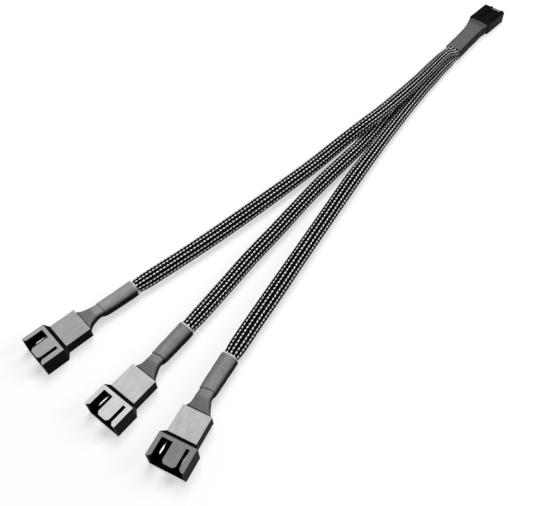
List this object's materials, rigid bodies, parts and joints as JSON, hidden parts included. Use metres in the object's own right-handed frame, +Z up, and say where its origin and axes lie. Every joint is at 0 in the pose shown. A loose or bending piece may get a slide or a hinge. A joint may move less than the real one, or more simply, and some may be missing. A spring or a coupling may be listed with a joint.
{
  "type": "fan splitter cable",
  "caption": "Splitter cable that feeds several four-pin fan sockets from one keyed plug, with braided sleeves and heat-shrink at each end.",
  "frame": {"origin": "under the middle of the plug and sockets, on the surface that the cable lies on", "axes": "+X along the cable towards the plug, +Z up from the surface"},
  "size_m": [0.2565, 0.0722, 0.0107],
  "materials": {
    "housing_plastic": "satin, faintly streaked",
    "shrink_tube": "smooth satin",
    "braid_sleeve": "woven monofilament",
    "wire_insulation": "matte",
    "tinned_metal": "tinned"
  },
  "bodies": {
    "root": {"plug_housing": "housing_plastic", "plug_terminal_1": "tinned_metal", "plug_terminal_2": "tinned_metal", "plug_terminal_3": "tinned_metal", "plug_terminal_4": "tinned_metal", "plug_shrink": "shrink_tube", "socket_housing_a": "housing_plastic", "socket_pin_a1": "tinned_metal", "socket_pin_a2": "tinned_metal", "socket_pin_a3": "tinned_metal", "socket_pin_a4": "tinned_metal", "leg_shrink_a": "shrink_tube", "sleeve_a": "braid_sleeve", "wire_a1": "wire_insulation", "wire_a2": "wire_insulation", "wire_a3": "wire_insulation", "wire_a4": "wire_insulation", "socket_housing_b": "housing_plastic", "socket_pin_b1": "tinned_metal", "socket_pin_b2": "tinned_metal", "socket_pin_b4": "tinned_metal", "leg_shrink_b": "shrink_tube", "sleeve_b": "braid_sleeve", "wire_b1": "wire_insulation", "wire_b2": "wire_insulation", "wire_b4": "wire_insulation", "socket_housing_c": "housing_plastic", "socket_pin_c1": "tinned_metal", "socket_pin_c2": "tinned_metal", "socket_pin_c4": "tinned_metal", "leg_shrink_c": "shrink_tube", "sleeve_c": "braid_sleeve", "wire_c1": "wire_insulation", "wire_c2": "wire_insulation", "wire_c4": "wire_insulation"}
  },
  "joints": []
}
